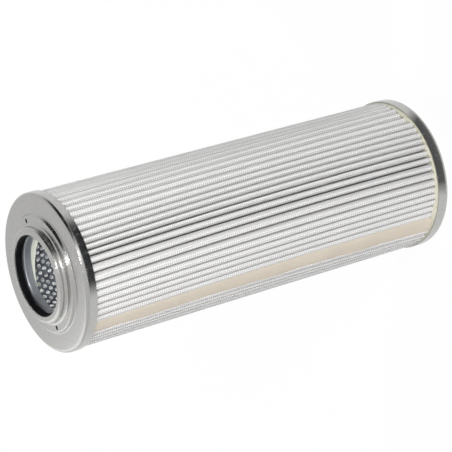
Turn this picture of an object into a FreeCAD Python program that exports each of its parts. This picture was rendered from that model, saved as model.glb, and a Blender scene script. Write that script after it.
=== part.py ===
import FreeCAD, Part
import math
import os

from FreeCAD import Vector

# A pleated hydraulic filter element. Two pressed steel end caps hold a pleated pack round a
# perforated core tube, and everything is bonded into the caps with cast adhesive.
# It stands on its closed end cap: +Z runs up the axis to the open end, and the origin is the
# middle of the closed cap's face. All sizes are in millimetres.

# Open end: the bore that the filter head's spigot enters, and the seal around it
bore_radius = 23.0
lip_setback = 1.2  # from the bore out to the edge of the neck's lip
seal_section = 4.7  # thickness of the O-ring
seal_proud = 0.15  # how far the O-ring stands into the bore
seal_side_clearance = 0.15
backing_ring_sheet = 0.8
backing_ring_setback = 0.5  # from the bore out to the ring's sleeve
backing_ring_rise = 0.4  # top of its flange above the cap's face
backing_ring_bend = 1.5
backing_ring_clearance = 0.3  # flange edge to the neck
sleeve_depth = 4.5  # below the cap's face
sleeve_clearance = 0.1  # sleeve to the core tube

# End caps
cap_sheet = 0.8
bend_share = 0.49  # the most of a wall that the bend at one of its ends takes
cap_corner_bend = 2.4
body_length = 261.0  # from one cap's face to the other's
open_skirt_height = 6.6
closed_skirt_height = 8.2
step_height = 1.9  # raised step round the neck
step_width = 5.9  # from the neck's wall to the step's top edge
step_slope_width = 1.2
step_foot_bend = 0.8
step_top_bend = 1.0
neck_foot_bend = 1.7
neck_top_bend = 1.9
punch_mark_radius = 1.3  # two punched holes in the step
punch_mark_count = 2
punch_mark_offset = 3.3  # from the neck's wall

# Core tube, with its first rows of perforations below the open mouth
core_wall = 0.9
perforation_radius = 1.25
perforations_round = 37
perforation_row_pitch = 3.1
perforated_rows = 4
first_row_depth = 6.3  # below the open cap's face
punch_reach = 1.0  # how far the cylinders that cut the holes stand out of the sheet

# Pleated pack, from the upstream side to the core: name and thickness of each sheet
pack_sheets = [
    ("outer_support_mesh", 0.20),
    ("outer_drainage_fleece", 0.10),
    ("glass_fibre_media", 0.26),
    ("inner_drainage_fleece", 0.10),
    ("inner_support_mesh", 0.18),
]
pleat_depth = 21.1
pleat_root_clearance = 0.1  # pleat roots to the core tube
pleat_tip_clearance = 0.2  # pleat tips to the skirts
root_fold_radius = 0.16  # inside radius of the fold at a root
root_gap = 0.56  # mean gap between pleats where they meet the core
tip_gap = 0.5
crowding = 0.14  # how much the pitch swells and shrinks round the pack
crowding_waves = 6
crowding_phase = 2.46
tip_facets = 10  # flat faces round a pleat's tip
root_facets = 4  # and round its root, an even number

# Adhesive side seam that closes the pack
seam_angle = math.radians(220.0)
seam_width = 9.2
seam_crown_drop = 0.2  # its crown below the pleat tips
seam_shoulder_angle = math.radians(45.0)  # how far it climbs round the pleats beside it
seam_shoulder_facets = 3
seam_floor_facets = 4

# Cast adhesive in the caps
bed_margin = 0.1  # adhesive between a cap and the pack, past the cap's corner bend
open_potting_recess = 0.4  # adhesive surface inside the open cap's skirt
closed_potting_rise = 0.8  # adhesive surface above the closed cap's skirt
potting_edge_relief = 0.3  # how much rounder its edge is than the cap's corner
bead_height = 2.9  # adhesive bead below the backing ring's sleeve
bead_overlap = 0.1  # how far the bead reaches in past the sleeve
bead_swell = 0.7  # where the bead is fullest, as a share of its height

# Radii that follow from the sizes above, from the bore outwards
lip_radius = bore_radius + lip_setback
sleeve_inner_radius = bore_radius + backing_ring_setback
sleeve_outer_radius = sleeve_inner_radius + backing_ring_sheet
core_inner_radius = sleeve_outer_radius + sleeve_clearance
core_outer_radius = core_inner_radius + core_wall
seal_inner_radius = bore_radius - seal_proud
neck_inner_radius = seal_inner_radius + seal_section + seal_side_clearance
neck_outer_radius = neck_inner_radius + cap_sheet
pleat_root_radius = core_outer_radius + pleat_root_clearance
pleat_tip_radius = pleat_root_radius + pleat_depth
skirt_inner_radius = pleat_tip_radius + pleat_tip_clearance
cap_radius = skirt_inner_radius + cap_sheet

# Heights that follow, from the closed cap's face up
potting_edge_bend = cap_corner_bend - cap_sheet + potting_edge_relief
adhesive_bed = potting_edge_bend + bed_margin
closed_inner_face = cap_sheet
pack_bottom = closed_inner_face + adhesive_bed
open_face = body_length
open_inner_face = open_face - cap_sheet
pack_top = open_inner_face - adhesive_bed
flange_top = open_face + backing_ring_rise
sleeve_end = open_face - sleeve_depth
lip_underside = flange_top + seal_section
lip_top = lip_underside + cap_sheet
closed_potting_top = closed_skirt_height + closed_potting_rise
open_potting_bottom = open_face - open_skirt_height + open_potting_recess

# The pack's own section
pack_thickness = sum(thickness for name, thickness in pack_sheets)
half_pack = pack_thickness / 2
root_bend = root_fold_radius + half_pack  # of the pack's middle line
root_centre_radius = pleat_root_radius + half_pack + root_bend
root_pitch = 2 * (root_fold_radius + pack_thickness) + root_gap
pleated_angle = 2 * math.pi + (tip_gap - seam_width) / pleat_tip_radius
pleat_count = math.floor(pleated_angle * root_centre_radius / root_pitch)
pleat_pitch = pleated_angle / pleat_count

axis = Vector(0, 0, 1)
origin = Vector(0, 0, 0)


def polar(radius, angle, height=0.0):
    return Vector(radius * math.cos(angle), radius * math.sin(angle), height)


def in_section(point):
    # A point of a turned profile, given as radius and height
    return Vector(point[0], 0, point[1])


def turned(edges):
    return Part.Face(Part.Wire(edges)).revolve(origin, axis, 360)


def ring(inner_radius, outer_radius, bottom, top):
    outer = Part.makeCylinder(outer_radius, top - bottom, Vector(0, 0, bottom))
    inner = Part.makeCylinder(inner_radius, top - bottom, Vector(0, 0, bottom))
    return outer.cut(inner)


def unit(start, end):
    length = math.dist(start, end)
    return ((end[0] - start[0]) / length, (end[1] - start[1]) / length)


def bend_turns(points):
    # How far a path turns at each inner point, positive to the left
    turns = []
    for before, corner, after in zip(points, points[1:], points[2:]):
        arriving = unit(before, corner)
        leaving = unit(corner, after)
        sine = arriving[0] * leaving[1] - arriving[1] * leaving[0]
        cosine = arriving[0] * leaving[0] + arriving[1] * leaving[1]
        turns.append(math.atan2(sine, cosine))
    return turns


def limited_bends(points, bends):
    # A bend takes no more than its share of the shorter wall beside it
    limited = []
    triples = zip(points, points[1:], points[2:], bend_turns(points), bends)
    for before, corner, after, turn, bend in triples:
        shorter = min(math.dist(before, corner), math.dist(corner, after))
        limited.append(min(bend, bend_share * shorter / math.tan(abs(turn) / 2)))
    return limited


def left_offset(points, distance):
    # The same path moved to its left, with mitred corners
    directions = [unit(start, end) for start, end in zip(points, points[1:])]
    normals = [(-direction[1], direction[0]) for direction in directions]
    moved = [(points[0][0] + normals[0][0] * distance, points[0][1] + normals[0][1] * distance)]
    for corner, first, second in zip(points[1:-1], normals, normals[1:]):
        reach = distance / (1 + first[0] * second[0] + first[1] * second[1])
        moved.append((corner[0] + (first[0] + second[0]) * reach,
                      corner[1] + (first[1] + second[1]) * reach))
    moved.append((points[-1][0] + normals[-1][0] * distance,
                  points[-1][1] + normals[-1][1] * distance))
    return moved


def rounded_path(points, bends):
    # Straight runs joined by tangent arcs
    edges = []
    run_start = points[0]
    corners = zip(points, points[1:], points[2:], bend_turns(points), bends)
    for before, corner, after, turn, bend in corners:
        arriving = unit(before, corner)
        leaving = unit(corner, after)
        reach = bend * math.tan(abs(turn) / 2)
        arc_start = (corner[0] - arriving[0] * reach, corner[1] - arriving[1] * reach)
        arc_end = (corner[0] + leaving[0] * reach, corner[1] + leaving[1] * reach)
        inward = unit(corner, ((arc_start[0] + arc_end[0]) / 2, (arc_start[1] + arc_end[1]) / 2))
        depth = bend / math.cos(turn / 2) - bend
        arc_middle = (corner[0] + inward[0] * depth, corner[1] + inward[1] * depth)
        edges.append(Part.LineSegment(in_section(run_start), in_section(arc_start)).toShape())
        edges.append(Part.Arc(in_section(arc_start), in_section(arc_middle),
                              in_section(arc_end)).toShape())
        run_start = arc_end
    edges.append(Part.LineSegment(in_section(run_start), in_section(points[-1])).toShape())
    return edges


def turned_sheet(points, bends, thickness):
    # Sheet metal turned round the axis: the points are its show face, with the sheet to their left
    show_bends = limited_bends(points, bends)
    back_points = left_offset(points, thickness)
    back_bends = []
    for turn, bend in zip(bend_turns(points), show_bends):
        back_bends.append(bend - math.copysign(thickness, turn))
    edges = rounded_path(points, show_bends) + rounded_path(back_points, back_bends)
    for end in (0, -1):
        edge = Part.LineSegment(in_section(points[end]), in_section(back_points[end])).toShape()
        edges.append(edge)
    return turned(Part.__sortEdges__(edges))


def open_end_cap():
    step_top = open_face + step_height
    step_top_radius = neck_outer_radius + step_width
    show_face = [
        (cap_radius, open_face - open_skirt_height),
        (cap_radius, open_face),
        (step_top_radius + step_slope_width, open_face),
        (step_top_radius, step_top),
        (neck_outer_radius, step_top),
        (neck_outer_radius, lip_top),
        (lip_radius, lip_top),
    ]
    bends = [cap_corner_bend, step_foot_bend, step_top_bend, neck_foot_bend, neck_top_bend]
    cap = turned_sheet(show_face, bends, cap_sheet)
    marks = []
    for index in range(punch_mark_count):
        angle = 2 * math.pi * index / punch_mark_count
        base = polar(neck_outer_radius + punch_mark_offset, angle, open_face)
        marks.append(Part.makeCylinder(punch_mark_radius, step_height + punch_reach, base))
    return cap.cut(marks)


def closed_end_cap():
    show_face = [(0.0, 0.0), (cap_radius, 0.0), (cap_radius, closed_skirt_height)]
    return turned_sheet(show_face, [cap_corner_bend], cap_sheet)


def o_ring_seal():
    section_radius = seal_section / 2
    centre = Vector(0, 0, flange_top + section_radius)
    return Part.makeTorus(seal_inner_radius + section_radius, section_radius, centre)


def seal_backing_ring():
    flange_radius = neck_inner_radius - backing_ring_clearance
    show_face = [
        (flange_radius, flange_top),
        (sleeve_inner_radius, flange_top),
        (sleeve_inner_radius, sleeve_end),
    ]
    return turned_sheet(show_face, [backing_ring_bend], backing_ring_sheet)


def core_tube():
    tube = ring(core_inner_radius, core_outer_radius, pack_bottom, open_inner_face)
    hole_pitch = 2 * math.pi / perforations_round
    holes = []
    for row in range(perforated_rows):
        height = open_face - first_row_depth - row * perforation_row_pitch
        for column in range(perforations_round):
            angle = (column + (row + 1) % 2 / 2) * hole_pitch
            base = polar(core_inner_radius - punch_reach, angle, height)
            holes.append(Part.makeCylinder(perforation_radius, core_wall + 2 * punch_reach,
                                           base, polar(1, angle)))
    return tube.cut(holes)


def core_adhesive_bead():
    inner_radius = sleeve_inner_radius + bead_overlap
    low_end = (core_inner_radius, sleeve_end - bead_height)
    swell = ((inner_radius + core_inner_radius) / 2, sleeve_end - bead_swell * bead_height)
    outer_top = in_section((core_inner_radius, sleeve_end))
    inner_top = in_section((inner_radius, sleeve_end))
    return turned([
        Part.LineSegment(outer_top, inner_top).toShape(),
        Part.Arc(inner_top, in_section(swell), in_section(low_end)).toShape(),
        Part.LineSegment(in_section(low_end), outer_top).toShape(),
    ])


def pleat_angles():
    # Tips from one side of the seam round to the other. The pitch swells and shrinks in waves.
    last = pleat_count - 1
    wave = 2 * math.pi * crowding_waves / last
    start = seam_angle + (2 * math.pi - last * pleat_pitch) / 2
    angles = []
    for index in range(pleat_count):
        drift = math.sin(wave * index + crowding_phase) - math.sin(crowding_phase)
        angles.append(start + pleat_pitch * (index + crowding * drift / wave))
    return angles


def arc_points(centre, radius, start, end, facets):
    step = (end - start) / facets
    return [centre + polar(radius, start + step * index) for index in range(facets + 1)]


class Pleat:
    # One pleat: its tip bend, and the two roots that its flanks run to.
    # The side is 1 towards the following pleat and -1 towards the one before.
    def __init__(self, angle, pitch_before, pitch_after):
        width_angle = min((pitch_before + pitch_after) / 2, pleat_pitch)
        narrowness = math.sin(width_angle / 2)
        half_width = (pleat_tip_radius * narrowness - tip_gap / 2) / (1 + narrowness)
        self.angle = angle
        self.tip_bend = half_width - half_pack
        self.tip_centre = polar(pleat_tip_radius - half_width, angle)
        self.root_angles = {-1: angle - pitch_before / 2, 1: angle + pitch_after / 2}

    def root_centre(self, side):
        return polar(root_centre_radius, self.root_angles[side])

    def flank_turn(self, side, base):
        # Which way a flank faces, from a base direction. Both bends touch the flank.
        between = self.root_centre(side) - self.tip_centre
        lean = math.asin((self.tip_bend + root_bend) / between.Length)
        faces = math.atan2(between.y, between.x) - side * (math.pi / 2 - lean)
        return math.remainder(faces - base, 2 * math.pi)

    def tip(self, offset, start, end, facets):
        radius = self.tip_bend + offset
        return arc_points(self.tip_centre, radius, self.angle + start, self.angle + end, facets)

    def whole_tip(self, offset):
        start = self.flank_turn(-1, self.angle)
        return self.tip(offset, start, self.flank_turn(1, self.angle), tip_facets)

    def root(self, side, offset, start, end, facets):
        inward = self.root_angles[side] + math.pi
        radius = root_bend - offset
        return arc_points(self.root_centre(side), radius, inward + start, inward + end, facets)


def make_pleats():
    angles = pleat_angles()
    pitches = [after - before for before, after in zip(angles, angles[1:])]
    pitches = [pitches[0]] + pitches + [pitches[-1]]
    return [Pleat(*sizes) for sizes in zip(angles, pitches, pitches[1:])]


def whole_root(pleat, following, offset):
    # From one pleat's flank round to the next one's
    angle = pleat.root_angles[1]
    start = pleat.flank_turn(1, angle)
    return pleat.root(1, offset, start, following.flank_turn(-1, angle), root_facets)


def seam_valley(last, first, offset):
    # The wide valley at the seam: half a root, a floor round the core, and half a root
    half = root_facets // 2
    arriving = last.root(1, offset, last.flank_turn(1, last.root_angles[1]), 0, half)
    leaving = first.root(-1, offset, 0, first.flank_turn(-1, first.root_angles[-1]), half)
    radius = root_centre_radius - root_bend + offset
    floor = arc_points(origin, radius, last.root_angles[1],
                       first.root_angles[-1] + 2 * math.pi, seam_floor_facets)
    return arriving + floor[1:-1] + leaving


def pack_outline(pleats, offset):
    # A closed line round the pack, at an offset outwards from its middle line
    points = []
    for pleat, following in zip(pleats, pleats[1:]):
        points += pleat.whole_tip(offset)
        points += whole_root(pleat, following, offset)
    points += pleats[-1].whole_tip(offset)
    points += seam_valley(pleats[-1], pleats[0], offset)
    return Part.makePolygon(points + points[:1])


def circle(radius):
    return Part.Wire(Part.makeCircle(radius))


def raised_ring(outline, hole, bottom, top):
    # A flat ring between two closed lines, raised from one height to another
    hole.reverse()
    face = Part.Face([outline, hole])
    face.translate(Vector(0, 0, bottom))
    return face.extrude(Vector(0, 0, top - bottom))


def pack_layers(pleats):
    layers = {}
    outer_offset = half_pack
    for name, thickness in pack_sheets:
        inner_offset = outer_offset - thickness
        layers[name] = raised_ring(pack_outline(pleats, outer_offset),
                                   pack_outline(pleats, inner_offset), pack_bottom, pack_top)
        outer_offset = inner_offset
    return layers


def side_seam_strip(pleats):
    # Adhesive that fills the seam's valley, a little below the tips of the pleats beside it
    last = pleats[-1]
    first = pleats[0]
    shoulder = math.pi / 2 - seam_shoulder_angle
    points = last.tip(half_pack, shoulder, last.flank_turn(1, last.angle), seam_shoulder_facets)
    points += seam_valley(last, first, half_pack)
    points += first.tip(half_pack, first.flank_turn(-1, first.angle), -shoulder, seam_shoulder_facets)
    crown = polar(pleat_tip_radius - seam_crown_drop, seam_angle)
    outer_arc = Part.Arc(points[-1], crown, points[0]).toShape()
    face = Part.Face(Part.Wire(Part.makePolygon(points).Edges + [outer_arc]))
    face.translate(Vector(0, 0, closed_potting_top))
    return face.extrude(Vector(0, 0, open_potting_bottom - closed_potting_top))


def adhesive_between_pleats(pleats, bottom, top):
    # What fills the pack's outer valleys, and its inner ones round the core
    outside = raised_ring(circle(skirt_inner_radius), pack_outline(pleats, half_pack), bottom, top)
    inside = raised_ring(pack_outline(pleats, -half_pack), circle(core_outer_radius), bottom, top)
    return [outside, inside]


def closed_potting(pleats):
    # A full disc of adhesive, with the pack and the core standing in it
    middle = Vector(0, 0, closed_inner_face)
    bed_middle = Vector(0, 0, pack_bottom)
    bed_edge = (skirt_inner_radius, pack_bottom)
    profile = rounded_path([(0.0, closed_inner_face), (skirt_inner_radius, closed_inner_face),
                            bed_edge], [potting_edge_bend])
    profile.append(Part.LineSegment(in_section(bed_edge), bed_middle).toShape())
    profile.append(Part.LineSegment(bed_middle, middle).toShape())
    core_floor = Part.makeCylinder(core_inner_radius, closed_potting_top - pack_bottom, bed_middle)
    filling = adhesive_between_pleats(pleats, pack_bottom, closed_potting_top)
    return turned(profile).fuse(filling + [core_floor])


def open_potting(pleats):
    # A ring of adhesive round the core tube, with the pack hanging into it
    bed_edge = (skirt_inner_radius, pack_top)
    core_top = (core_outer_radius, open_inner_face)
    core_edge = in_section((core_outer_radius, pack_top))
    profile = rounded_path([bed_edge, (skirt_inner_radius, open_inner_face), core_top],
                           [potting_edge_bend])
    profile.append(Part.LineSegment(in_section(core_top), core_edge).toShape())
    profile.append(Part.LineSegment(core_edge, in_section(bed_edge)).toShape())
    filling = adhesive_between_pleats(pleats, open_potting_bottom, pack_top)
    return turned(profile).fuse(filling)


pleats = make_pleats()
parts = {
    "open_end_cap": open_end_cap(),
    "closed_end_cap": closed_end_cap(),
    "o_ring_seal": o_ring_seal(),
    "seal_backing_ring": seal_backing_ring(),
    "core_tube": core_tube(),
    "core_adhesive_bead": core_adhesive_bead(),
    "open_end_potting": open_potting(pleats),
    "closed_end_potting": closed_potting(pleats),
    "side_seam_strip": side_seam_strip(pleats),
}
parts.update(pack_layers(pleats))

os.makedirs("parts", exist_ok=True)
for name, shape in parts.items():
    shape.exportStep(f"parts/{name}.step")
    print(name, len(shape.Solids), round(shape.Volume, 1))
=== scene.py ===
# A pleated hydraulic filter element, dressed for its picture.
# It stands on its closed end cap with +Z up the axis. Sizes in the dictionaries are
# millimetres and degrees unless a note says otherwise.
import math

import bpy
import numpy as np
from mathutils import Matrix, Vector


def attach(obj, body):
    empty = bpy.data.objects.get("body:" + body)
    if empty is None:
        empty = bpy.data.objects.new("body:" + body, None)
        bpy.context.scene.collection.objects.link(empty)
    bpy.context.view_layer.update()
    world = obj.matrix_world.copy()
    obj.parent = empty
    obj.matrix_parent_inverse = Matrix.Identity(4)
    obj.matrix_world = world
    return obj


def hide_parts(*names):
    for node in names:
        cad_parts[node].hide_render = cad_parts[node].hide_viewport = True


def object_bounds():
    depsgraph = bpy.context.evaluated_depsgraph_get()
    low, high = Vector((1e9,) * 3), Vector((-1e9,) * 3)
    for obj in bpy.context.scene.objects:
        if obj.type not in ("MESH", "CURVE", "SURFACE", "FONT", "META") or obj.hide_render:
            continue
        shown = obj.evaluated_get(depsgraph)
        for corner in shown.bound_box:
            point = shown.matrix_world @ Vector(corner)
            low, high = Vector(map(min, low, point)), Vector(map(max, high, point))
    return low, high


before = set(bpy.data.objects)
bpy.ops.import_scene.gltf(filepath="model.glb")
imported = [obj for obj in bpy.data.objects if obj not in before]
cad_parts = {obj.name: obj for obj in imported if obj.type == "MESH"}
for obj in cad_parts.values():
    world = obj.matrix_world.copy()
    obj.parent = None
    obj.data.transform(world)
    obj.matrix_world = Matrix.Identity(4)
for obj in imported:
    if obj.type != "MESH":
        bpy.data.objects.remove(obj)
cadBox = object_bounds()

mm = 0.001


def nodeSpans(name):
    # smallest and largest radius, then lowest and highest point, in millimetres
    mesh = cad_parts[name].data
    points = np.empty(len(mesh.vertices) * 3)
    mesh.vertices.foreach_get("co", points)
    points = points.reshape(-1, 3) / mm
    radii = np.hypot(points[:, 0], points[:, 1])
    return radii.min(), radii.max(), points[:, 2].min(), points[:, 2].max()


class Link:
    # One output of a node. Sums, products and powers of links add their Math nodes.
    def __init__(self, graph, socket):
        self.graph = graph
        self.socket = socket

    def math(self, operation, *values):
        settings = {"operation": operation}
        return self.graph.add("Math", settings, dict(enumerate(values)))

    def __add__(self, other):
        return self.math("ADD", self, other)

    def __sub__(self, other):
        return self.math("SUBTRACT", self, other)

    def __rsub__(self, other):
        return self.math("SUBTRACT", other, self)

    def __mul__(self, other):
        return self.math("MULTIPLY", self, other)

    def __truediv__(self, other):
        return self.math("DIVIDE", self, other)

    def __pow__(self, other):
        return self.math("POWER", self, other)

    __radd__ = __add__
    __rmul__ = __mul__

    def limit(self):
        # held between 0 and 1
        return self.math("MINIMUM", self.math("MAXIMUM", self, 0.0), 1.0)

    def above(self, start, gain):
        # 0 up to the start, then a rise by the gain, up to 1
        return ((self - start) * gain).limit()


class Graph:
    # The nodes of one new material, or of the tree that is given
    def __init__(self, name, tree=None):
        if tree is None:
            self.material = bpy.data.materials.new(name)
            self.material.use_nodes = True
            tree = self.material.node_tree
        self.tree = tree
        self.tree.nodes.clear()

    def add(self, kind, settings, inputs, output=0):
        node = self.tree.nodes.new("ShaderNode" + kind)
        for key, value in settings.items():
            setattr(node, key, value)
        for key, value in inputs.items():
            if isinstance(value, Link):
                self.tree.links.new(value.socket, node.inputs[key])
            else:
                node.inputs[key].default_value = value
        return Link(self, node.outputs[output]) if len(node.outputs) else None

    def objectPlace(self):
        return self.add("TexCoord", {}, {}, "Object")

    def axes(self, vector):
        # its first two coordinates
        return [self.add("SeparateXYZ", {}, {"Vector": vector}, k) for k in (0, 1)]

    def noise(self, place, size, detail=2.0, roughness=0.5):
        # size is the width of one blotch in millimetres; the values lie round noiseMean
        inputs = {"Vector": place, "Scale": 1 / (size * mm), "Detail": detail,
                  "Roughness": roughness}
        return self.add("TexNoise", {}, inputs)

    def mix(self, factor, first, second):
        # sockets 0, 6, 7 and output 2 are the colour ones of a Mix node
        inputs = {0: factor, 6: colourOf(first), 7: colourOf(second)}
        return self.add("Mix", {"data_type": "RGBA"}, inputs, 2)

    def bump(self, height, distance, strength=1.0):
        # distance in millimetres
        inputs = {"Height": height, "Distance": distance * mm, "Strength": strength}
        return self.add("Bump", {}, inputs)

    def surface(self, inputs):
        return self.finish(self.add("BsdfPrincipled", {}, inputs))

    def blend(self, share, first, second):
        inputs = {0: share, 1: first, 2: second}
        return self.finish(self.add("MixShader", {}, inputs))

    def finish(self, shader):
        self.add("OutputMaterial", {}, {"Surface": shader})
        return self.material


def colourOf(value):
    return value if isinstance(value, Link) else (*value, 1.0)


noiseMean = 0.5

capSteelLook = {
    "colour": (0.495, 0.491, 0.477),
    "dullColour": (0.474, 0.470, 0.458),
    "spangle": 2.8,  # width of one zinc grain
    "spangleFrom": (0.40, 5.0),  # where in the noise a grain starts, and how sharply
    "speck": 2.8,
    "speckFrom": (0.54, 5.0),
    "haze": 16.0,
    "roughness": 0.23,
    "spangleRoughness": 0.02,
    "speckRoughness": 0.04,
    "hazeRoughness": 0.06,
    "speckMatt": 0.06,  # how much less metallic a speck is
    "dent": 0.00025,
    "speckDent": 0.5,  # as a share of a grain's
}


def capSteel():
    # satin zinc plate: soft grains in colour, roughness and height, with fine matt specks
    look = capSteelLook
    graph = Graph("capSteel")
    place = graph.objectPlace()
    grain = graph.noise(place, look["spangle"], detail=3.0).above(*look["spangleFrom"])
    speck = graph.noise(place, look["speck"]).above(*look["speckFrom"])
    haze = graph.noise(place, look["haze"]) - noiseMean
    rough = (look["roughness"] + look["spangleRoughness"] * grain
             + look["hazeRoughness"] * haze + look["speckRoughness"] * speck)
    return graph.surface({
        "Base Color": graph.mix(grain, look["colour"], look["dullColour"]),
        "Metallic": 1.0 - look["speckMatt"] * speck,
        "Roughness": rough,
        "Normal": graph.bump(grain + look["speckDent"] * speck, look["dent"]),
    })


coreSteelLook = {
    "colour": (0.15, 0.165, 0.185),
    "tarnish": (0.085, 0.095, 0.11),
    "sleeveColour": (0.42, 0.44, 0.47),
    "wallColour": (0.88, 0.89, 0.90),
    "metal": 0.94,
    "wallMetal": 0.40,
    "blotch": 5.0,
    "blotchFrom": (0.38, 3.5),
    "grain": 0.7,
    "roughness": 0.30,
    "blotchRoughness": 0.14,
    "grainRoughness": 0.08,
    "dent": 0.006,
    "margin": 0.04,  # from the tube's inner face to where the sleeve or the walls start
    "blend": 0.025,  # over which they come in
}


def coreSteel():
    # Plain galvanised sheet, bluer than the caps and a little stained. What lies nearer the
    # axis than the tube, the ring's sleeve, is paler, and what lies farther off, the walls
    # of the perforations, is bare and bright.
    look = coreSteelLook
    graph = Graph("coreSteel")
    place = graph.objectPlace()
    blotch = graph.noise(place, look["blotch"], detail=3.0).above(*look["blotchFrom"])
    grain = graph.noise(place, look["grain"])
    x, y = graph.axes(place)
    outward = (x * x + y * y) ** 0.5 - nodeSpans("core_tube")[0] * mm
    margin, gain = look["margin"] * mm, 1 / (look["blend"] * mm)
    sleeve = (-1.0 * outward).above(margin, gain)
    wall = outward.above(margin, gain)
    sheet = graph.mix(wall, graph.mix(blotch, look["colour"], look["tarnish"]), look["wallColour"])
    return graph.surface({
        "Base Color": graph.mix(sleeve, sheet, look["sleeveColour"]),
        "Metallic": look["metal"] + (look["wallMetal"] - look["metal"]) * wall,
        "Roughness": (look["roughness"] + look["blotchRoughness"] * blotch
                      + look["grainRoughness"] * grain),
        "Normal": graph.bump(grain, look["dent"]),
    })


rubberLook = {
    "colour": (0.0025, 0.0025, 0.003),
    "dustColour": (0.006, 0.006, 0.0065),
    "dust": 2.4,
    "dustFrom": (0.48, 4.0),
    "grain": 0.25,
    "roughness": 0.40,
    "dustRoughness": 0.16,
    "shine": 0.20,
    "density": 1.2,  # its refractive index
    "dent": 0.004,
}


def sealRubber():
    # moulded black rubber with a faint bloom
    look = rubberLook
    graph = Graph("sealRubber")
    place = graph.objectPlace()
    dust = graph.noise(place, look["dust"], detail=4.0).above(*look["dustFrom"])
    grain = graph.noise(place, look["grain"], detail=1.0)
    return graph.surface({
        "Base Color": graph.mix(dust, look["colour"], look["dustColour"]),
        "Roughness": look["roughness"] + look["dustRoughness"] * dust,
        "Specular IOR Level": look["shine"],
        "IOR": look["density"],
        "Normal": graph.bump(grain, look["dent"]),
    })


def castAdhesive(name, look):
    # cast resin: slow drifts of tint, small bubbles whose pits are darkened with painted shade, and
    # a slightly wavy skin
    graph = Graph(name)
    place = graph.objectPlace()
    drift = graph.noise(place, look["drift"]).above(*look["driftFrom"])
    skin = graph.noise(place, look["skin"], detail=3.0)
    inputs = {"Vector": place, "Scale": 1 / (look["bubble"] * mm)}
    bubbles = graph.add("TexVoronoi", {}, inputs)
    pit = ((look["pitReach"] - bubbles) * look["pitGain"]).limit()
    tint = graph.mix(drift, look["colour"], look["driftColour"])
    return graph.surface({
        # painted shade in the bubbles' pits
        "Base Color": graph.mix(look["pitShadeShare"] * pit, tint, look["pitShadeColour"]),
        "Roughness": look["roughness"] + look["skinRoughness"] * (skin - noiseMean),
        "Normal": graph.bump(skin - look["pitDepth"] * pit, look["relief"]),
    })


capAdhesiveLook = {
    "colour": (0.47, 0.455, 0.355),
    "driftColour": (0.53, 0.52, 0.43),
    "pitShadeColour": (0.30, 0.28, 0.20),
    "drift": 9.0,
    "driftFrom": (0.35, 3.0),
    "skin": 2.2,
    "bubble": 2.8,  # from one to the next
    "pitReach": 0.16,  # a bubble's radius, as a share of that
    "pitGain": 8.0,
    "pitShadeShare": 0.35,
    "pitDepth": 0.6,
    "relief": 0.10,
    "roughness": 0.42,
    "skinRoughness": 0.18,
}

# the bead inside the bore is greyer and duller
beadAdhesiveLook = {
    **capAdhesiveLook,
    "colour": (0.250, 0.258, 0.228),
    "driftColour": (0.280, 0.286, 0.254),
    "pitShadeColour": (0.18, 0.18, 0.155),
}

seamAdhesiveLook = {
    **capAdhesiveLook,
    "colour": (0.585, 0.525, 0.440),
    "driftColour": (0.550, 0.490, 0.415),
    "pitShadeColour": (0.44, 0.38, 0.30),
    "drift": 22.0,
    "skin": 5.0,
    "bubble": 4.5,
    "relief": 0.05,
    "roughness": 0.55,
}

wireClothLook = {
    "pitch": 1.44,  # between wires
    "wire": 0.42,  # their diameter
    "wireColour": (0.945, 0.94, 0.935),
    "paintedShadeColour": (0.50, 0.495, 0.49),  # painted shade where the weave lies low: the cloth between the wires and the wires where they pass under
    "crimp": 0.45,  # how much of its height a wire loses and gains along it
    "wireGain": 3.0,  # how sharply a wire ends at its sides
    "knuckleGain": 1.4,
    "knuckleStart": 0.2,
    "metal": 0.08,
    "roughness": 0.38,
    "shadowRoughness": 0.9,
    "shine": 0.20,
    "relief": 0.8,
}


def wireCloth():
    # A plain weave on the piece's own UV map, which is in metres along and across the folds.
    # A wire's height is a half circle across it, raised and lowered by a cosine along it.
    # The colour is painted light and shade by that height: lighter on the knuckles, darker where
    # the weave lies low.
    look = wireClothLook
    graph = Graph("wireCloth")
    uv = graph.add("UVMap", {"uv_map": "weave"}, {})
    across, along = [axis / (look["pitch"] * mm) for axis in graph.axes(uv)]
    half = look["wire"] / look["pitch"] / 2
    crimp, matt = look["crimp"], look["shadowRoughness"]

    def wire(own, other, turn):
        # the two directions are half a wave apart, and so is each wire from its neighbours
        centre = (own.math("FRACT", own) - 0.5) / half
        profile = (1.0 - centre * centre).limit() ** 0.5
        sway = math.pi * (other + own.math("FLOOR", own) + turn)
        return profile, profile * (1.0 - crimp + crimp * sway.math("COSINE", sway))

    warp, warpHeight = wire(across, along, 0.5)
    weft, weftHeight = wire(along, across, 1.5)
    height = warpHeight.math("MAXIMUM", warpHeight, weftHeight)
    mask = (look["wireGain"] * warp.math("MAXIMUM", warp, weft)).limit()
    # painted highlight on the knuckles and painted shade low in the weave
    paintedKnuckleLight = (look["knuckleGain"] * height - look["knuckleStart"]).limit()
    return graph.surface({
        "Base Color": graph.mix(paintedKnuckleLight, look["paintedShadeColour"], look["wireColour"]),
        "Metallic": look["metal"] * mask,
        "Roughness": matt + (look["roughness"] - matt) * mask,
        "Specular IOR Level": look["shine"],
        "Normal": graph.bump(height, 0.5 * look["wire"], look["relief"]),
    })


fleeceLook = {
    "colour": (0.80, 0.79, 0.78),
    "fibreColour": (0.70, 0.69, 0.68),
    "fibre": 0.5,
    "roughness": 0.85,
    "fibreRoughness": 0.1,
    "relief": 0.05,
}


def fleece(name):
    # matted fibres
    look = fleeceLook
    graph = Graph(name)
    fibres = graph.noise(graph.objectPlace(), look["fibre"], detail=5.0, roughness=0.7)
    return graph.surface({
        "Base Color": graph.mix(fibres, look["colour"], look["fibreColour"]),
        "Roughness": look["roughness"] + look["fibreRoughness"] * fibres,
        "Normal": graph.bump(fibres, look["relief"]),
    })


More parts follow.
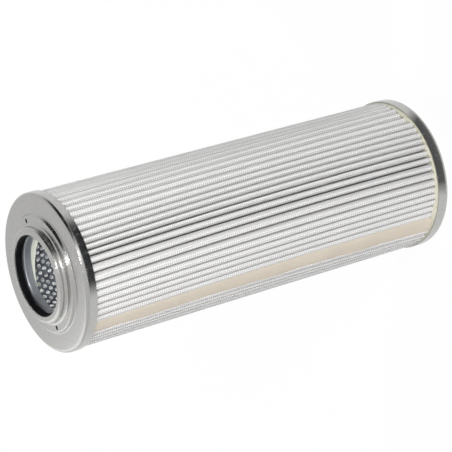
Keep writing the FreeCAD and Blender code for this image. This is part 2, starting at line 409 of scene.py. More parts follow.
finishes = {
    "cap_steel": capSteel(),
    "core_steel": coreSteel(),
    "seal_rubber": sealRubber(),
    "adhesive": castAdhesive("capAdhesive", capAdhesiveLook),
    "seam_adhesive": castAdhesive("seamAdhesive", seamAdhesiveLook),
    "wire_cloth": wireCloth(),
    "fleece": fleece("drainageFleece"),
    "media": fleece("glassMedia"),
}

for name, slotName in (("closed_end_cap", "cap_steel"), ("o_ring_seal", "seal_rubber"),
                       ("seal_backing_ring", "core_steel")):
    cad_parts[name].material_slots[0].material = finishes[slotName]
print("finishes made and put on the closed cap, the seal and its ring")


def putInScene(name, data):
    thing = bpy.data.objects.new(name, data)
    bpy.context.scene.collection.objects.link(thing)
    return thing


def makePiece(name, node, slotName, points, quads, triangles=(), uv=None, sharp=40.0, finish=None):
    # points in millimetres, faces as rows of point numbers, uv per corner of the quads
    points = points.reshape(-1, 3)
    triangles = np.reshape(triangles, (-1, 3)).astype(int)
    mesh = bpy.data.meshes.new(name)
    corners = np.concatenate([quads.ravel(), triangles.ravel()]).astype(np.int32)
    sizes = np.concatenate([np.full(len(quads), 4), np.full(len(triangles), 3)])
    mesh.vertices.add(len(points))
    mesh.vertices.foreach_set("co", (points * mm).astype(np.float32).ravel())
    mesh.loops.add(len(corners))
    mesh.loops.foreach_set("vertex_index", corners)
    mesh.polygons.add(len(sizes))
    mesh.polygons.foreach_set("loop_start", (np.cumsum(sizes) - sizes).astype(np.int32))
    mesh.update(calc_edges=True)
    mesh.polygons.foreach_set("use_smooth", np.ones(len(sizes), bool))
    mesh.set_sharp_from_angle(angle=math.radians(sharp))
    if uv is not None:
        weave = mesh.uv_layers.new(name="weave")
        weave.data.foreach_set("uv", (uv * mm).astype(np.float32).ravel())
    mesh.materials.append(finish or finishes[slotName])
    piece = putInScene(name, mesh)
    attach(piece, "root")
    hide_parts(node)
    print("made", name, len(quads) * 2 + len(triangles), "triangles")


def gridQuads(rows, columns, closed):
    # rows run along the section and columns run round the axis, where the grid is closed
    i, j = np.meshgrid(np.arange(rows if closed else rows - 1), np.arange(columns), indexing="ij")
    after, beside = (i + 1) % rows, (j + 1) % columns
    quads = [i * columns + j, i * columns + beside, after * columns + beside, after * columns + j]
    return np.stack(quads, -1).reshape(-1, 4)


def fan(pole, ring, up):
    # triangles from a pole to a ring of points
    beside = np.roll(ring, -1)
    order = [ring, beside] if up else [beside, ring]
    return np.stack([np.full(len(ring), pole)] + order, -1)


def cappedGrid(points):
    # a stack of closed outlines, with a fan from the middle of the first and of the last
    rows, columns = points.shape[:2]
    flat = points.reshape(-1, 3)
    poles = np.stack([points[0].mean(0), points[-1].mean(0)])
    ring = np.arange(columns)
    triangles = np.concatenate([fan(len(flat), ring, False),
                                fan(len(flat) + 1, ring + (rows - 1) * columns, True)])
    return np.concatenate([flat, poles]), gridQuads(rows, columns, False), triangles


def polarPoints(radius, angle, height):
    radius, angle, height = np.broadcast_arrays(radius, angle, height)
    return np.stack([radius * np.cos(angle), radius * np.sin(angle), height], -1)


def fullTurn(steps):
    return np.linspace(0, 2 * math.pi, steps, endpoint=False)


def ease(share):
    # from 0 to 1 with level ends
    share = np.clip(share, 0.0, 1.0)
    return share * share * (3 - 2 * share)


def ripple(angle, waves, seed):
    # a closed line round the axis: cosines of the given numbers of waves, between -1 and 1
    draw = np.random.default_rng(seed)
    phases = draw.uniform(0, 2 * math.pi, len(waves))
    weights = draw.uniform(0.5, 1.0, len(waves))
    total = sum(w * np.cos(n * angle + p) for w, n, p in zip(weights, waves, phases))
    return total / weights.sum()


pack = {
    "pleats": 62,
    "rootFold": 0.16,
    "bellyDepth": 3.5,  # from a tip in to where the pleat is widest
    "bellyGap": 0.18,  # between pleats there
    "parted": 0.60,  # how much wider it is where the pleats stand apart
    "partedAngle": 272.0,
    "partedReach": 11.0,
    "crest": 0.64,  # radius of the fold at a tip, as a share of half the widest place
    "blunter": 0.26,  # how much more it is where the pleats are pressed flat
    "squarer": 1.0,  # and how far their folds go from a circle to a squarer curve
    "bluntFrom": 214.0,
    "bluntTo": 264.0,
    "bluntOver": (6.0, 14.0),
    "lean": (-0.17, 0.08),  # how far the pleats turn over, in radians, on the parting's two sides
    "leanFrom": 226.0,
    "leanTo": 352.0,
    "leanOver": 9.0,
    "widest": 1.16,  # half width of the widest pleat, as a share of the mean
    "wander": 0.07,
    "wanderWaves": (4.2, 11.0),  # radians from one end to the other
    "seed": 11,
}

# Where the lines between pleats stand, in degrees round the axis, at three heights. They are
# counted from the seam up; the last three are those before the seam. The pleats that aren't
# seen are spread evenly between the two groups.
seenLines = {
    "closed": [225.3, 230.8, 236.6, 241.6, 246.8, 252.0, 257.4, 263.6, 270.1, 275.7, 281.3,
               286.6, 291.6, 297.1, 302.6, 308.6, 315.7, 322.3, 329.6, 335.3, 342.0,
               198.8, 204.5, 211.7],
    "middle": [225.4, 230.8, 236.3, 241.1, 246.5, 251.8, 257.6, 264.4, 270.5, 276.5, 281.6,
               286.8, 291.6, 296.6, 301.8, 308.0, 313.9, 320.8, 327.1, 332.9, 338.4,
               203.5, 208.5, 214.5],
    "open": [221.1, 226.4, 232.4, 237.3, 242.5, 247.9, 253.6, 260.0, 266.9, 272.8, 277.4,
             281.9, 286.8, 292.0, 297.6, 304.4, 310.5, 316.0, 322.4, 328.5, 335.2,
             200.5, 205.9, 210.7],
}

packNodes = ["outer_support_mesh", "outer_drainage_fleece", "glass_fibre_media",
             "inner_drainage_fleece", "inner_support_mesh"]
tipRadii = [nodeSpans(name)[1] for name in packNodes]
rootRadii = [nodeSpans(name)[0] for name in packNodes]
packBottom, packTop = nodeSpans(packNodes[0])[2:]
tipRadius = tipRadii[0]
rootRadius = rootRadii[-1]
packThickness = tipRadii[0] - tipRadii[-1] + rootRadii[-2] - rootRadii[-1]
halfPack = packThickness / 2
outerFaces = [halfPack - (tipRadius - radius) for radius in tipRadii]
innerFaces = outerFaces[1:] + [-halfPack]
rootBend = pack["rootFold"] + halfPack
rootCentreRadius = rootRadius + halfPack + rootBend


def pleatLines(up):
    # The lines between pleats at shares of the height: parabolas through the three heights'
    # angles, with a small slow wander of every line by itself
    count = pack["pleats"]
    numbers = np.arange(count + 1)
    rows = {}
    for level, seen in seenLines.items():
        angles = seen[:-3] + [angle + 360 for angle in seen[-3:]]
        known = np.concatenate([numbers[:len(seen) - 3], numbers[-3:]])
        rows[level] = np.interp(numbers, known, angles)
    up = up[:, None]
    lines = ((1 - up) * (1 - 2 * up) * rows["closed"] + 4 * up * (1 - up) * rows["middle"]
             + up * (2 * up - 1) * rows["open"])
    draw = np.random.default_rng(pack["seed"])
    slow, quick = draw.uniform(0, 2 * math.pi, (2, count + 1))
    waves = pack["wanderWaves"]
    wander = np.sin(waves[0] * up + slow) + 0.5 * np.sin(waves[1] * up + quick)
    return np.radians(lines + pack["wander"] * wander)


class Pleats:
    # All pleats at all heights. In section a pleat is a leaf: a small circle at its crest,
    # squarer where the pleats are pressed flat, and a wider one at its belly, joined by the
    # lines that touch both, and two long flanks, each the line that touches the belly and the
    # root bend beside it.
    def __init__(self, up):
        lines = pleatLines(up)
        before, after = lines[:, :-1], lines[:, 1:]
        self.angle = (before + after) / 2
        width = after - before
        bellyRadius = tipRadius - pack["bellyDepth"]
        narrowness = np.sin(np.minimum(width, pack["widest"] * width.mean()) / 2)
        degrees = np.degrees(self.angle)
        away = (degrees - pack["partedAngle"]) / pack["partedReach"]
        gap = pack["bellyGap"] + pack["parted"] * np.exp(-away * away)
        halfWidth = bellyRadius * narrowness - gap / 2
        self.blunt = (ease((degrees - pack["bluntFrom"]) / pack["bluntOver"][0])
                      * ease((pack["bluntTo"] - degrees) / pack["bluntOver"][1]))
        below, above = [ease(side * (degrees - pack["partedAngle"]) / pack["leanOver"])
                        for side in (-1, 1)]
        lean = ((pack["lean"][0] * below + pack["lean"][1] * above)
                * ease((degrees - pack["leanFrom"]) / pack["leanOver"])
                * ease((pack["leanTo"] - degrees) / pack["leanOver"]))
        self.facing = self.angle + lean
        crest = (pack["crest"] + pack["blunter"] * self.blunt) * halfWidth
        self.slope = np.arccos((halfWidth - crest) / (pack["bellyDepth"] - crest))
        self.tipBend = halfWidth - halfPack
        self.crestBend = crest - halfPack
        self.tipCentre = self.place(bellyRadius, self.angle)
        self.crestCentre = self.tipCentre + self.place(pack["bellyDepth"] - crest, self.facing)
        self.rootAngle = {-1: before, 1: after}

    def place(self, radius, angle):
        return np.stack([radius * np.cos(angle), radius * np.sin(angle)], -1)

    def flank(self, side, base):
        between = self.place(rootCentreRadius, self.rootAngle[side]) - self.tipCentre
        distance = np.hypot(between[..., 0], between[..., 1])
        lean = np.arcsin((self.tipBend + rootBend) / distance)
        faces = np.arctan2(between[..., 1], between[..., 0]) - side * (math.pi / 2 - lean)
        return (faces - base + math.pi) % (2 * math.pi) - math.pi

    def arc(self, centre, radius, base, start, end, steps):
        # a bend's points: centre plus radius times the direction, turned evenly from start to end
        share = np.linspace(0, 1, steps + 1)
        turn = base[..., None] + start[..., None] + (end - start)[..., None] * share
        return centre[..., None, :] + np.asarray(radius)[..., None, None] * self.place(1.0, turn)

    def belly(self, offset, start, end):
        return self.arc(self.tipCentre, self.tipBend + offset, self.facing, start, end, 2)

    def crest(self, offset, start, end, steps):
        # the circle, lifted along the pleat to the curve whose two cubes, across and along, add
        # up to one
        circle = self.arc(self.crestCentre, self.crestBend + offset, self.facing, start, end, steps)
        turn = start[..., None] + (end - start)[..., None] * np.linspace(0, 1, steps + 1)
        lift = np.cbrt(1 - np.abs(np.sin(turn)) ** 3) - np.cos(turn)
        lift = lift * (pack["squarer"] * self.blunt * (self.crestBend + offset))[..., None]
        return circle + lift[..., None] * self.place(1.0, self.facing)[..., None, :]

    def tips(self, offset, steps):
        # up one side of the belly, over the crest and down the other side
        return np.concatenate([self.belly(offset, self.flank(-1, self.facing), -self.slope),
                               self.crest(offset, -self.slope, self.slope, steps),
                               self.belly(offset, self.slope, self.flank(1, self.facing))], 2)

    def roots(self, offset, steps):
        # the bend from each pleat's flank round to the next pleat's
        base = self.rootAngle[1][:, :-1]
        start = self.flank(1, self.rootAngle[1])[:, :-1]
        end = self.flank(-1, self.rootAngle[-1])[:, 1:]
        centre = self.place(rootCentreRadius, base)
        return self.arc(centre, rootBend - offset, base + math.pi, start, end, steps)

    def valley(self, offset, steps):
        # at the seam: half a root bend, a floor round the core and half a root bend
        last, first = self.rootAngle[1][:, -1], self.rootAngle[-1][:, 0]
        still = np.zeros(len(last))
        radius = rootBend - offset
        half = max(2, steps // 2)
        arriving = self.arc(self.place(rootCentreRadius, last), radius, last + math.pi,
                            self.flank(1, self.rootAngle[1])[:, -1], still, half)
        leaving = self.arc(self.place(rootCentreRadius, first), radius, first + math.pi,
                           still, self.flank(-1, self.rootAngle[-1])[:, 0], half)
        share = np.linspace(0, 1, 6)[1:-1]
        turn = last[:, None] + (first + 2 * math.pi - last)[:, None] * share
        floor = self.place(rootCentreRadius - rootBend + offset, turn)
        return np.concatenate([arriving, floor, leaving], 1)

    def outline(self, offset, tipSteps, rootSteps):
        # one closed line round the pack at each height
        tips, roots = self.tips(offset, tipSteps), self.roots(offset, rootSteps)
        runs = np.concatenate([tips[:, :-1], roots], 2)
        runs = runs.reshape(len(runs), -1, 2)
        return np.concatenate([runs, tips[:, -1], self.valley(offset, rootSteps)], 1)


sheets = {
    # node, slot, steps round a tip and round a root, levels from end to end
    "outerWireCloth": ("outer_support_mesh", "wire_cloth", 14, 4, 26),
    "outerFleece": ("outer_drainage_fleece", "fleece", 8, 3, 12),
    "glassMedia": ("glass_fibre_media", "media", 8, 3, 12),
    "innerFleece": ("inner_drainage_fleece", "fleece", 8, 3, 12),
    "innerWireCloth": ("inner_support_mesh", "wire_cloth", 8, 4, 12),
}


def foldedSheet(name, node, slotName, tipSteps, rootSteps, levels):
    # The sheet's section is a thin upright strip, carried once round the pack's outline:
    # up its outer face and down its inner face
    order = packNodes.index(node)
    up = np.linspace(0, 1, levels + 1)
    heights = packBottom + (packTop - packBottom) * up
    pleats = Pleats(up)
    outer = pleats.outline(outerFaces[order], tipSteps, rootSteps)
    inner = pleats.outline(innerFaces[order], tipSteps, rootSteps)
    flat = np.concatenate([outer, inner[::-1]])
    tall = np.concatenate([heights, heights[::-1]])
    rows, columns = flat.shape[:2]
    points = np.concatenate([flat, np.broadcast_to(tall[:, None, None], (rows, columns, 1))], -1)
    middle = outer[len(outer) // 2]
    steps = np.hypot(*(np.roll(middle, -1, 0) - middle).T)
    length = np.concatenate([[0], np.cumsum(steps)])
    i, j = np.meshgrid(np.arange(rows), np.arange(columns), indexing="ij")
    low, high = tall[i], tall[(i + 1) % rows]
    uv = np.stack([length[j], low, length[j + 1], low, length[j + 1], high, length[j], high], -1)
    quads = gridQuads(rows, columns, True)
    makePiece(name, node, slotName, points, quads, uv=uv, sharp=50.0)


for name, sheet in sheets.items():
    foldedSheet(name, *sheet)


seam = {
    "shoulder": 0.72,  # where the strip's edges lie, as a share of the way round a crest
    "edgeWobble": 0.10,
    "edgeWaves": (23, 51),  # radians from one end to the other
    "crownPower": 4,  # the higher, the more of the crown is level
    "crownRipple": 0.05,
    "crownWaves": (9, 31),
    "crownWavesAcross": (3, 5),
    "levels": 60,
    "crownSteps": 14,
    "edgeSteps": 3,
    "valleySteps": 4,
    "seed": 5,
}


def sideSeam():
    # A strip that fills the wide valley. Its outline runs along the crown, whose radius is
    # level in the middle and dips at its edges, then down one pleat, along the valley's
    # floor and up the other pleat.
    crownRadius, stripBottom, stripTop = nodeSpans("side_seam_strip")[1:]
    heights = np.linspace(stripBottom, stripTop, seam["levels"] + 1)
    up = (heights - packBottom) / (packTop - packBottom)
    pleats = Pleats(up)
    draw = np.random.default_rng(seam["seed"])
    phases = draw.uniform(0, 2 * math.pi, (2, 3))
    slow, quick = seam["edgeWaves"]
    wobble = [np.sin(slow * up + p[0]) + 0.6 * np.sin(quick * up + p[1]) for p in phases]
    edges = [(seam["shoulder"] + seam["edgeWobble"] * w)[:, None] * pleats.slope for w in wobble]
    slope, steps = pleats.slope, seam["edgeSteps"]
    down, rising = pleats.flank(1, pleats.facing), pleats.flank(-1, pleats.facing)
    last = np.concatenate([pleats.crest(halfPack, edges[0], slope, steps)[:, -1],
                           pleats.belly(halfPack, slope, down)[:, -1]], 1)
    first = np.concatenate([pleats.belly(halfPack, rising, -slope)[:, 0],
                            pleats.crest(halfPack, -slope, -edges[1], steps)[:, 0]], 1)
    ends = np.stack([last[:, 0], first[:, -1]], 1)
    radii = np.hypot(ends[..., 0], ends[..., 1])
    angles = np.arctan2(ends[..., 1], ends[..., 0]) % (2 * math.pi)
    share = np.linspace(0, 1, seam["crownSteps"] + 1)[1:-1]
    turn = angles[:, :1] + (angles[:, 1:] - angles[:, :1]) * share
    chord = radii[:, :1] + (radii[:, 1:] - radii[:, :1]) * share
    fullness = 1 - np.abs(2 * share - 1) ** seam["crownPower"]
    slow, quick = [np.sin(wave * up + phase)[:, None]
                   for wave, phase in zip(seam["crownWaves"], phases[:, 2])]
    broad, narrow = seam["crownWavesAcross"]
    ripples = slow * np.cos(broad * share) + quick * np.sin(narrow * share) - 1
    level = crownRadius + seam["crownRipple"] * ripples
    crown = pleats.place(chord + (level - chord) * fullness, turn)
    valley = pleats.valley(halfPack, seam["valleySteps"])
    loop = np.concatenate([last, valley, first, crown[:, ::-1]], 1)[:, ::-1]
    tall = np.broadcast_to(heights[:, None, None], (*loop.shape[:2], 1))
    makePiece("sideSeam", "side_seam_strip", "seam_adhesive",
              *cappedGrid(np.concatenate([loop, tall], -1)))


sideSeam()


core = {
    "holesRound": 37,
    "rows": 78,
    "rowPitch": 3.1,
    "firstRow": 12.2,  # below the top of the open cap's lip
    "holeRadius": 1.25,
    "holeCorners": 10,
}


def perforatedCore():
    # A tube cut into equal cells like bricks, each with a round hole. A cell is ten quads
    # between a rectangle of ten points and a ring of ten points, on both faces of the
    # sheet, and ten more quads line the hole.
    inner, outer, low, high = nodeSpans("core_tube")
    count, rows, corners = core["holesRound"], core["rows"], core["holeCorners"]
    quarters = 4 * count
    turn = 2 * math.pi / quarters
    top = nodeSpans("open_end_cap")[3] - core["firstRow"]
    centres = top - core["rowPitch"] * np.arange(rows)[::-1]
    # the offset of a row is counted from the top one, which is half a pitch round
    shifts = 2 * ((np.arange(rows)[::-1] + 1) % 2)
    bounds = np.append(centres - core["rowPitch"] / 2, centres[-1] + core["rowPitch"] / 2)
    bounds = np.concatenate([[low], bounds, [high]])
    lines = len(bounds)
    ring = np.arange(quarters)
    step = 2 * math.pi / corners
    around = -math.pi / 2 + step * (np.arange(corners) - 2)
    hub = 4 * np.arange(count)[None, :] + shifts[:, None]  # quarter number under each hole
    hubAngle = hub[..., None] * turn

    def face(radius):
        lattice = polarPoints(radius, ring * turn, bounds[:, None]).reshape(-1, 3)
        angle = hubAngle + core["holeRadius"] * np.cos(around) / outer
        height = centres[:, None, None] + core["holeRadius"] * np.sin(around)
        holes = polarPoints(radius, angle, height).reshape(-1, 3)
        return np.concatenate([lattice, holes])

    points = np.concatenate([face(outer), face(inner)])
    layer = len(points) // 2
    across = np.array([-2, -1, 0, 1, 2, 2, 1, 0, -1, -2])
    level = np.array([0, 0, 0, 0, 0, 1, 1, 1, 1, 1])
    row = np.arange(rows)[:, None, None] + 1
    rim = (row + level) * quarters + (hub[..., None] + across) % quarters
    hole = lines * quarters + np.arange(rows * count * corners).reshape(rows, count, corners)
    nextRim, nextHole = np.roll(rim, -1, 2), np.roll(hole, -1, 2)
    cells = np.stack([rim, nextRim, nextHole, hole], -1).reshape(-1, 4)
    beside = (ring + 1) % quarters
    bands = [np.stack([ring, beside, beside + quarters, ring + quarters], -1) + k * quarters
             for k in (0, lines - 2)]
    skin = np.concatenate([cells] + bands)
    lining = np.stack([hole, nextHole, nextHole + layer, hole + layer], -1).reshape(-1, 4)
    end = (lines - 1) * quarters
    foot = np.stack([ring + layer, beside + layer, beside, ring], -1)
    head = np.stack([ring, beside, beside + layer, ring + layer], -1) + end
    quads = np.concatenate([skin, skin[:, ::-1] + layer, lining, foot, head])
    makePiece("perforatedCore", "core_tube", "core_steel", points, quads)


perforatedCore()


bead = {
    "steps": 148,
    "bulge": 9,
    "fullest": 2.0,  # towards where the bead has run down furthest
    "deep": 2.0,  # its height there, as a share of its mean height
    "thin": 0.08,  # and where it has hardly run down
    "spread": 0.62,  # how much of the way across it has run
    "flatter": 1.3,
    "ragged": 0.08,
    "waves": (5, 9, 14, 23, 37),
    "seed": 21,
}


def coreBead():
    # A quarter of a flattened ellipse in section, turned round the axis. Its height swells
    # evenly towards one side, and is a little uneven all the way round.
    inner, outer, low, high = nodeSpans("core_adhesive_bead")
    angle = fullTurn(bead["steps"])
    share = np.linspace(0, math.pi / 2, bead["bulge"])[:, None]
    side = 0.5 + 0.5 * np.cos(angle - math.radians(bead["fullest"]))
    run = np.clip((side - 1) / bead["spread"] + 1, 0, 1)
    uneven = 1 + bead["ragged"] * ripple(angle, bead["waves"], bead["seed"])
    height = (high - low) * uneven * (bead["thin"] + (bead["deep"] - bead["thin"]) * run)
    inside = polarPoints(outer - (outer - inner) * np.cos(share) ** bead["flatter"], angle,
                         high - height * np.sin(share))
    back = polarPoints(outer, angle, high)[None]
    points = np.concatenate([back, inside])
    makePiece("coreBead", "core_adhesive_bead", "adhesive", points,
              gridQuads(*points.shape[:2], True),
              finish=castAdhesive("beadAdhesive", beadAdhesiveLook))


coreBead()


cap = {
    "skirt": 6.6,
    "sheet": 0.8,
    "neck": 28.5,  # radius of its wall
    "step": 1.9,  # height of the raised step round the neck
    "stepWidth": 5.9,
    "slopeWidth": 1.2,
    "bends": (2.4, 0.8, 1.0, 1.7, 1.9),  # from the skirt's corner in to the lip
    "bendSteps": 10,
    "columns": 288,
    "marks": 2,
    "markRadius": 1.3,
    "markOffset": 3.3,  # from the neck's wall
    "markReach": 3,  # columns to either side of a mark that its cell takes in
}


def roundedPath(corners, bends, steps):
    # straight runs joined by arcs: centre plus the way from it to the arc's start, turned evenly
    runs = np.diff(corners, axis=0)
    runs /= np.hypot(*runs.T)[:, None]
    points = [corners[:1]]
    for corner, arriving, leaving, bend in zip(corners[1:], runs, runs[1:], bends):
        turn = math.atan2(arriving[0] * leaving[1] - arriving[1] * leaving[0], arriving @ leaving)
        start = corner - arriving * bend * math.tan(abs(turn) / 2)
        out = np.array([arriving[1], -arriving[0]]) * math.copysign(bend, turn)
        angle = turn * np.linspace(0, 1, steps + 1)[:, None]
        swung = np.array([-out[1], out[0]])
        points.append(start - out + out * np.cos(angle) + swung * np.sin(angle))
    return np.concatenate(points + [corners[-1:]])


def leftOffset(corners, distance):
    # each corner moved so that the runs beside it move to their left by the distance
    runs = np.diff(corners, axis=0)
    runs /= np.hypot(*runs.T)[:, None]
    left = np.stack([-runs[:, 1], runs[:, 0]], -1)
    before, after = np.concatenate([left[:1], left]), np.concatenate([left, left[-1:]])
    return corners + distance * (before + after) / (1 + (before * after).sum(1))[:, None]


def openCap():
    # The cap's section is a bent strip, carried round the axis. In the step's level part a
    # mark is a ring of quads between the edge of its cell and a round hole, on both faces of
    # the sheet, and more quads line the hole.
    lip, edge, low, high = nodeSpans("open_end_cap")
    face, neck = low + cap["skirt"], cap["neck"]
    step, brink = face + cap["step"], neck + cap["stepWidth"]
    corners = np.array([(edge, low), (edge, face), (brink + cap["slopeWidth"], face),
                        (brink, step), (neck, step), (neck, high), (lip, high)])
    turns = np.array([1, -1, 1, -1, 1])
    show = roundedPath(corners, cap["bends"], cap["bendSteps"])
    back = roundedPath(leftOffset(corners, cap["sheet"]), cap["bends"] - turns * cap["sheet"],
                       cap["bendSteps"])
    loop = np.concatenate([show, back[::-1]])
    rows, columns = len(loop), cap["columns"]
    angle = 2 * math.pi * np.arange(columns) / columns
    points = polarPoints(loop[:, :1], angle, loop[:, 1:]).reshape(-1, 3)
    level = 3 * (cap["bendSteps"] + 1)  # the last row of the third bend, and the one below it
    under = rows - 2 - level
    reach = cap["markReach"]
    kept = np.ones((rows, columns), bool)
    quads, rings = [], []
    for mark in range(cap["marks"]):
        middle = mark * columns // cap["marks"]
        sector = (middle + np.arange(-reach, reach + 1)) % columns
        kept[level, sector[:-1]] = kept[under, sector[:-1]] = False
        outward = np.array([math.cos(angle[middle]), math.sin(angle[middle])])
        centre = (neck + cap["markOffset"]) * outward
        holes = []
        for far, near in ((level, level + 1), (under + 1, under)):
            rim = np.concatenate([far * columns + sector, near * columns + sector[::-1]])
            away = points[rim, :2] - centre
            ring = centre + cap["markRadius"] * away / np.hypot(*away.T)[:, None]
            hole = len(points) + sum(map(len, rings)) + np.arange(len(rim))
            rings.append(np.column_stack([ring, points[rim, 2]]))
            skin = np.stack([rim, hole, np.roll(hole, -1), np.roll(rim, -1)], -1)
            quads.append(skin[:, ::-1] if far < near else skin)
            holes.append(hole)
        upper, lower = holes
        quads.append(np.stack([upper, np.roll(upper, -1), np.roll(lower, -1), lower], -1))
    quads = np.concatenate([gridQuads(rows, columns, True)[kept.ravel()]] + quads)
    points = np.concatenate([points] + rings)
    makePiece("openCap", "open_end_cap", "cap_steel", points, quads)


openCap()


potting = {
    "steps": 260,
    "closedRise": 0.9,
    "closedRipple": 3.4,  # how uneven its visible rim is
    "closedLowest": -0.1,
    "closedSeed": 1761,
    "openRipple": 0.15,
    "openSeed": 44,
    "waves": (3, 5, 8, 13, 21, 34, 62),
    "rimBend": (0.12, 0.25),  # how far in its top edge starts, and how far down the wall
    "rimWidth": 1.1,
    "sink": 0.35,  # its surface between the pleats, below the rim
    "edge": 2.0,
    "edgeSteps": 5,
}


def bedSection(radius, bottom):
    # from the underside out to the rim: level, then a quarter circle up to the wall
    turn = np.linspace(0, math.pi / 2, potting["edgeSteps"])[:, None]
    return (radius - potting["edge"] * (1 - np.sin(turn)),
            bottom + potting["edge"] * (1 - np.cos(turn)))


def closedPotting():
    # a shallow disc whose rim rises and falls round the cap
    radius, bottom, top = nodeSpans("closed_end_potting")[1:]
    angle = fullTurn(potting["steps"])
    wave = potting["closedRipple"] * ripple(angle, potting["waves"], potting["closedSeed"])
    rim = top + np.maximum(potting["closedRise"] + wave, potting["closedLowest"])
    edgeRadius, edgeHeight = bedSection(radius, bottom)
    inset, drop = potting["rimBend"]
    sink = potting["sink"]
    rows = [(0.5 * radius, bottom), (radius, rim - drop), (radius - inset, rim),
            (radius - potting["rimWidth"], rim - sink), (nodeSpans("core_tube")[0], top - sink)]
    lower = polarPoints(edgeRadius, angle, edgeHeight)
    rings = [polarPoints(r, angle, z)[None] for r, z in rows]
    makePiece("closedPotting", "closed_end_potting", "adhesive",
              *cappedGrid(np.concatenate([rings[0], lower] + rings[1:])))


def openPotting():
    # a ring round the core, with a slightly uneven underside
    inner, outer, bottom, top = nodeSpans("open_end_potting")
    angle = fullTurn(potting["steps"])
    wave = ripple(angle, potting["waves"], potting["openSeed"])
    low = bottom + potting["openRipple"] * (1 + wave)
    edgeRadius, edgeHeight = bedSection(outer, top)
    lower = polarPoints(edgeRadius, angle, 2 * top - edgeHeight)
    rings = [polarPoints(r, angle, z)[None] for r, z in ((inner, low), (outer, low), (inner, top))]
    points = np.concatenate(rings[:2] + [lower[::-1]] + rings[2:])
    makePiece("openPotting", "open_end_potting", "adhesive", points,
              gridQuads(*points.shape[:2], True))


closedPotting()
openPotting()


studio = {
    "worldLight": 0.60,
    "floorWhite": 0.97,  # share of plain white in the floor, as the camera and the metal see it
    "floorColour": (0.68, 0.68, 0.68),
    "floorSize": 14.0,  # metres, as are the other lengths here
    "floorDrop": 0.0002,
    "cardColour": (0.012, 0.013, 0.015),
    "cardStart": 1.04,  # as a share of the object's radius
    "cardReach": 1.3,
    "cardLift": 0.0006,
    "flagLift": 0.0003,
    "cardNearSector": (250.0, 315.0),
    "cardSector": (222.0, 340.0),
    "cardSwing": 0.12,  # distance over which the one turns into the other
    "cardFade": 0.16,  # share of its width over which a card fades at each side
    "cardNearShade": 0.80,  # how black the floor card is at the object
    "cardNearGain": 4.0,  # and how soon it is fully black
    "cardColumns": 33,
    "cardRows": 24,
}

# part of an upright drum, in degrees and metres
sideCard = {"sector": (298.0, 384.0), "heights": (0.02, 2.6), "distance": 1.6}

# sectors of the floor that throw no light up on the sides of the pack; no metal shows them
floorFlags = {"upperFlag": (334.0, 398.0), "lowerFlag": (146.0, 208.0)}

softboxes = {
    # place in metres, width and height in metres, power in watts
    "keySoftbox": ((0.30, -1.13, 1.10), (0.26, 0.50), 13.0),
    "upperSoftbox": ((0.80, -0.94, 0.50), (0.50, 0.50), 7.0),
    "lowerSoftbox": ((-0.56, -1.10, 0.45), (0.50, 0.50), 9.0),
    "backSoftbox": ((0.0, 1.20, 0.70), (0.50, 0.50), 13.0),
}

# Seen in the metal only. The first shades the flat of the open cap, and the second draws the
# bright streak down the neck.
metalSoftboxes = {
    "faceSoftbox": ((-0.40, 0.60, 0.66), (0.70, 0.70), 1.0),
    "neckStrip": ((0.3024, -1.2129, 1.05), (0.11, 0.95), 1.8),
}

boreLight = {"place": (0.10, -0.41, 1.15), "size": 0.03, "power": 9, "cone": 6.5, "blend": 0.3}

# a small lamp on the axis, that many millimetres below the top, for what shows through the
# perforations
coreLamp = {"depth": 56.0, "size": 0.004, "power": 0.26}


def plainRays(graph):
    # 1 for the rays of the camera, of reflections and through glass, 0 for those of the light
    camera, glossy, clear = [graph.add("LightPath", {}, {}, f"Is {ray} Ray")
                             for ray in ("Camera", "Glossy", "Transmission")]
    return (camera + glossy + clear).limit()


def makeSheet(name, points, material):
    # a sheet of points, with its columns and rows numbered 0 to 1 in the UV map
    rows, columns = points.shape[:2]
    i, j = np.meshgrid(np.arange(rows - 1), np.arange(columns - 1), indexing="ij")
    first = i * columns + j
    quads = np.stack([first, first + columns, first + columns + 1, first + 1], -1).reshape(-1, 4)
    mesh = bpy.data.meshes.new(name)
    mesh.from_pydata(points.reshape(-1, 3).tolist(), [], quads.tolist())
    uv = np.stack([(quads % columns) / (columns - 1), (quads // columns) / (rows - 1)], -1)
    mesh.uv_layers.new(name="card").data.foreach_set("uv", uv.astype(np.float32).ravel())
    mesh.materials.append(material)
    sheet = putInScene(name, mesh)
    return sheet


def makeCard(name, points, material):
    # a sheet that the camera doesn't see
    card = makeSheet(name, points, material)
    card.visible_camera = card.visible_shadow = card.visible_transmission = False
    return card


def studioFloor():
    graph = Graph("studioFloor")
    seen = plainRays(graph)
    matt = graph.add("BsdfDiffuse", {}, {"Color": colourOf(studio["floorColour"])})
    white = graph.add("Emission", {}, {"Color": colourOf((1.0, 1.0, 1.0))})
    half, drop = studio["floorSize"] / 2, studio["floorDrop"]
    corners = np.array([[(x, y, -drop) for x in (-half, half)] for y in (-half, half)])
    makeSheet("studioFloor", corners, graph.blend(studio["floorWhite"] * seen, matt, white))


def cardMaterial():
    # black, fading to nothing towards the two sides of the card's own UV map, and paler
    # along its first row
    graph = Graph("darkCard")
    uv = graph.add("UVMap", {"uv_map": "card"}, {})
    across, outward = graph.axes(uv)
    near = across.math("MINIMUM", across, 1.0 - across) / studio["cardFade"]
    shade = studio["cardNearShade"]
    solid = near.limit() * (shade + (1 - shade) * (studio["cardNearGain"] * outward).limit())
    black = graph.add("BsdfDiffuse", {}, {"Color": colourOf(studio["cardColour"])})
    clear = graph.add("BsdfTransparent", {}, {})
    return graph.blend(solid, clear, black)


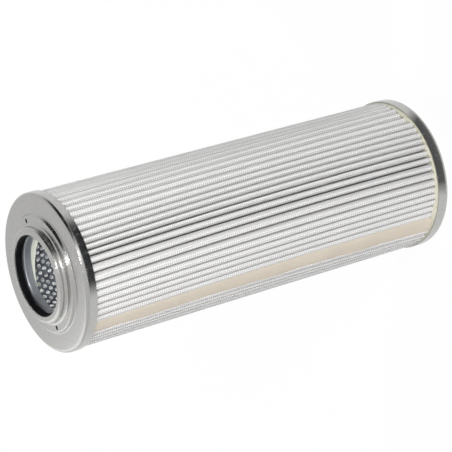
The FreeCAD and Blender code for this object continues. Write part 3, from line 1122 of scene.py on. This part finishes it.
def darkCards():
    # One card lies on the floor: a sector whose sides turn from the near pair of angles to
    # the far pair with the distance. The flags are plain sectors of the floor.
    material = cardMaterial()
    columns = studio["cardColumns"]
    share = np.linspace(0, 1, columns)
    outward = np.linspace(0, 1, studio["cardRows"])[:, None]
    edge = cadBox[1][0]
    radius = edge * studio["cardStart"] + (studio["cardReach"] - edge) * outward ** 2
    swing = 1 - np.exp(-radius / studio["cardSwing"])
    near, far = studio["cardNearSector"], studio["cardSector"]
    low = near[0] + (far[0] - near[0]) * swing
    high = near[1] + (far[1] - near[1]) * swing
    angle = np.radians(low + (high - low) * share)
    makeCard("floorCard", polarPoints(radius, angle, studio["cardLift"]), material)
    angle = np.radians(np.linspace(*sideCard["sector"], columns))
    height = np.array(sideCard["heights"])[:, None]
    makeCard("sideCard", polarPoints(sideCard["distance"], angle, height), material)
    for name, sector in floorFlags.items():
        angle = np.radians(np.linspace(*sector, columns))
        flag = makeCard(name, polarPoints(radius, angle, studio["flagLift"]), material)
        flag.visible_glossy = False


def hangLamp(name, kind, power, place, aim, settings):
    # it looks at the axis, at the height of aim
    light = bpy.data.lights.new(name, kind)
    light.energy = power
    for key, value in settings.items():
        setattr(light, key, value)
    lamp = putInScene(name, light)
    away = np.array((0, 0, aim)) - place
    yaw = math.atan2(away[1], away[0])
    pitch = math.atan2(math.hypot(away[0], away[1]), -away[2])
    lamp.matrix_world = (Matrix.Translation(place) @ Matrix.Rotation(yaw - math.pi / 2, 4, "Z")
                         @ Matrix.Rotation(pitch, 4, "X"))
    return lamp


def softbox(name, place, size, power, aim):
    settings = {"shape": "RECTANGLE", "size": size[0], "size_y": size[1]}
    return hangLamp(name, "AREA", power, place, aim, settings)


def hangLamps():
    low, high = cadBox[0][2], cadBox[1][2]
    for name, (place, size, power) in softboxes.items():
        softbox(name, place, size, power, (low + high) / 2).visible_glossy = False
    for name, (place, size, power) in metalSoftboxes.items():
        softbox(name, place, size, power, high).visible_diffuse = False
    hangLamp("boreLight", "SPOT", boreLight["power"], boreLight["place"], high,
             {"spot_size": math.radians(boreLight["cone"]), "spot_blend": boreLight["blend"],
              "shadow_soft_size": boreLight["size"]})
    glow = hangLamp("coreLamp", "POINT", coreLamp["power"],
                    (0, 0, high - coreLamp["depth"] * mm), high,
                    {"shadow_soft_size": coreLamp["size"]})
    glow.visible_camera = glow.visible_glossy = False


def lightWorld():
    world = bpy.data.worlds.new("studio")
    world.use_nodes = True
    graph = Graph("studio", world.node_tree)
    strength = studio["worldLight"] + (1.0 - studio["worldLight"]) * plainRays(graph)
    sky = graph.add("Background", {}, {"Strength": strength})
    graph.add("OutputWorld", {}, {"Surface": sky})
    bpy.context.scene.world = world


view = {
    "sensor": 36.0,
    "lens": 168.43,
    "aim": (-0.002386, 0.0, 0.135655),
    "distance": 1.27465,
    "pitch": 31.034,  # degrees down
    "roll": -105.956,
}


def placeCamera():
    lens = bpy.data.cameras.new("camera")
    lens.lens = view["lens"]
    lens.sensor_width = view["sensor"]
    camera = putInScene("camera", lens)
    pitch = math.radians(view["pitch"])
    x, y, z = view["aim"]
    place = (x, y - view["distance"] * math.cos(pitch), z + view["distance"] * math.sin(pitch))
    camera.matrix_world = (Matrix.Translation(place)
                           @ Matrix.Rotation(math.pi / 2 - pitch, 4, "X")
                           @ Matrix.Rotation(math.radians(view["roll"]), 4, "Z"))
    bpy.context.scene.camera = camera


studioFloor()
darkCards()
hangLamps()
lightWorld()
placeCamera()
bpy.context.scene.view_settings.view_transform = "Standard"
print("studio set")
